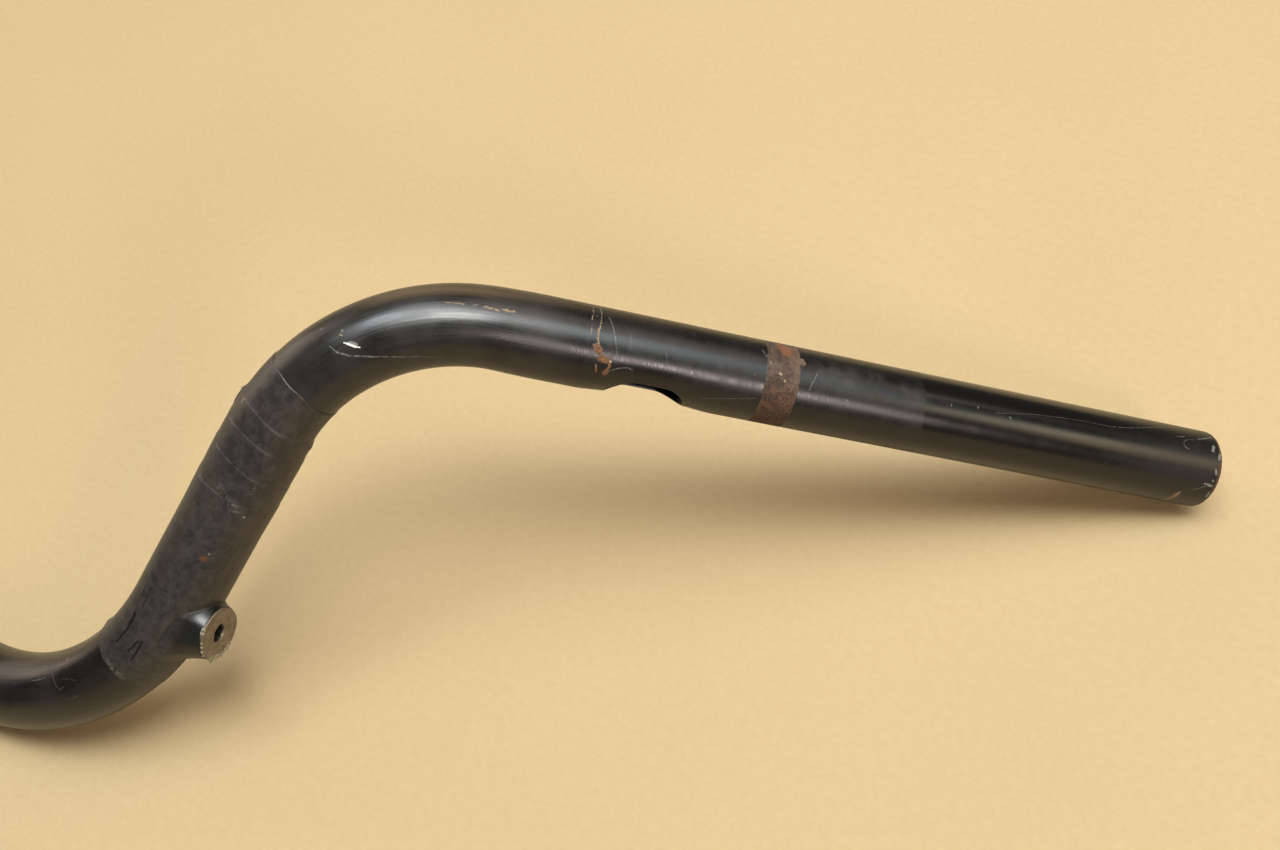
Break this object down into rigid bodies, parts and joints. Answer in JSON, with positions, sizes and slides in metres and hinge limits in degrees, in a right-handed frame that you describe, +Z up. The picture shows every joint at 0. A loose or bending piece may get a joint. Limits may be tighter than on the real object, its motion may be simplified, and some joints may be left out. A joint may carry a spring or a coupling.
{
  "type": "motorcycle handlebar",
  "caption": "Used black-painted steel motorcycle handlebar with swept-back grips, wire slots, sawn-off welded bosses and a tape-wrapped riser.",
  "frame": {"origin": "on the surface that the bar lies on, at the middle of its bounding box", "axes": "+X along the centre section towards the right end, +Y towards the side that the grips sweep to, +Z up from the surface that the bar lies on"},
  "size_m": [0.7358, 0.247, 0.1057],
  "materials": {
    "black_paint": "worn satin black paint with scratches and rust",
    "sawn_steel": "dull sawn steel with a brown bloom",
    "black_tape": "matt wrapped PVC tape"
  },
  "bodies": {
    "root": {"bar_tube": "black_paint", "right_boss": "sawn_steel", "left_boss": "sawn_steel", "right_boss_weld": "black_paint", "left_boss_weld": "black_paint", "right_riser_tape": "black_tape"}
  },
  "joints": []
}
